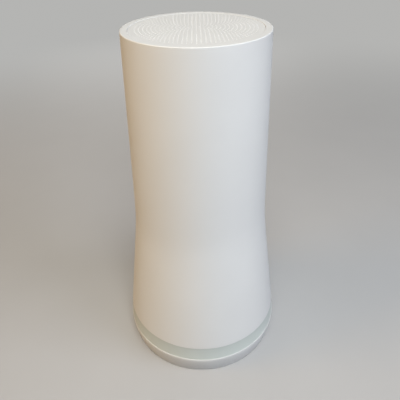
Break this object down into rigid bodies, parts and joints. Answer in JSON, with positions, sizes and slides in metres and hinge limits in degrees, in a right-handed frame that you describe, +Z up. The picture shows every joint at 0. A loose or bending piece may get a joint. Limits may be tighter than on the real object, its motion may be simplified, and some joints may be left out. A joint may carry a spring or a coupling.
{
  "type": "mesh wifi node",
  "caption": "Tapered white tower for home wireless networking, with a perforated top, a light ring above a round foot, and sockets sunk into its back.",
  "frame": {"origin": "centre of the resting plane, on the tower's axis", "axes": "+Z up the tower's axis; the front, with the notch in the foot, faces -Y; the port bay faces +Y; +X to the right seen from the front"},
  "size_m": [0.1144, 0.1144, 0.23],
  "materials": {
    "shell_white": "moulded white plastic with a fine matt texture",
    "diffuser": "frosted translucent plastic, unlit",
    "rubber_grey": "dull moulded rubber",
    "panel_white": "moulded white plastic, slightly duller than the shell",
    "label_silver": "blank satin film",
    "jack_black": "moulded black nylon",
    "jack_blue": "moulded blue nylon",
    "frame_grey": "moulded grey plastic",
    "board_green": "solder mask on glass fibre",
    "chip_black": "moulded epoxy or nylon",
    "thermal_pad": "soft filled silicone",
    "aluminium": "extruded, with faint draw lines",
    "tin_plate": "bright tinned sheet",
    "steel": "zinc-plated",
    "brass": "stamped sheet",
    "led_yellow": "clear resin over phosphor"
  },
  "bodies": {
    "housing": {"outer_shell": "shell_white", "top_grille": "shell_white", "foot_ring": "shell_white", "base_plate": "shell_white", "light_ring": "diffuser", "rubber_foot": "rubber_grey", "io_panel": "panel_white", "led_ribbon": "panel_white", "rating_label": "label_silver", "lan_jack_1": "jack_black", "lan_jack_2": "jack_black", "dc_jack": "jack_black", "wan_jack": "jack_blue", "tower_frame": "frame_grey", "antenna_carrier": "frame_grey", "main_board": "board_green", "io_board": "board_green", "button_board": "board_green", "led_board": "board_green", "soc_chip": "chip_black", "memory_chip": "chip_black", "flash_chip": "chip_black", "power_inductor": "chip_black", "ethernet_transformer": "chip_black", "edge_connector": "chip_black", "pair_switch_body": "chip_black", "reset_switch_body": "chip_black", "coax_1": "chip_black", "coax_2": "chip_black", "coax_3": "chip_black", "coax_4": "chip_black", "soc_thermal_pad": "thermal_pad", "rf_thermal_pad_low": "thermal_pad", "rf_thermal_pad_high": "thermal_pad", "front_heatsink": "aluminium", "rear_heatsink": "aluminium", "bulk_capacitor": "aluminium", "rf_shield_low": "tin_plate", "rf_shield_high": "tin_plate", "base_screw_1": "steel", "base_screw_2": "steel", "base_screw_3": "steel", "shell_screw_left": "steel", "shell_screw_right": "steel", "heatsink_screw_1": "steel", "heatsink_screw_2": "steel", "antenna_1": "brass", "antenna_2": "brass", "antenna_3": "brass", "antenna_4": "brass", "led_1": "led_yellow", "led_2": "led_yellow", "led_3": "led_yellow", "led_4": "led_yellow", "led_5": "led_yellow", "led_6": "led_yellow"},
    "pair_button": {"pair_button": "panel_white"},
    "pair_plunger": {"pair_switch_plunger": "chip_black"},
    "reset_plunger": {"reset_switch_plunger": "chip_black"}
  },
  "joints": [
    {"name": "pair_button_press", "type": "slide", "parent": "housing", "child": "pair_button", "axis": [0, -1, 0], "range_m": [0, 0.0005], "stiffness_N_per_m": 150, "springref_m": -0.001},
    {"name": "pair_plunger_press", "type": "slide", "parent": "housing", "child": "pair_plunger", "axis": [0, -1, 0], "range_m": [0, 0.0005]},
    {"name": "reset_press", "type": "slide", "parent": "housing", "child": "reset_plunger", "axis": [0, -1, 0], "range_m": [0, 0.0004], "stiffness_N_per_m": 25, "springref_m": -0.001}
  ],
  "couplings": [
    {"joint": "pair_plunger_press", "follows": "pair_button_press", "ratio": 1}
  ]
}
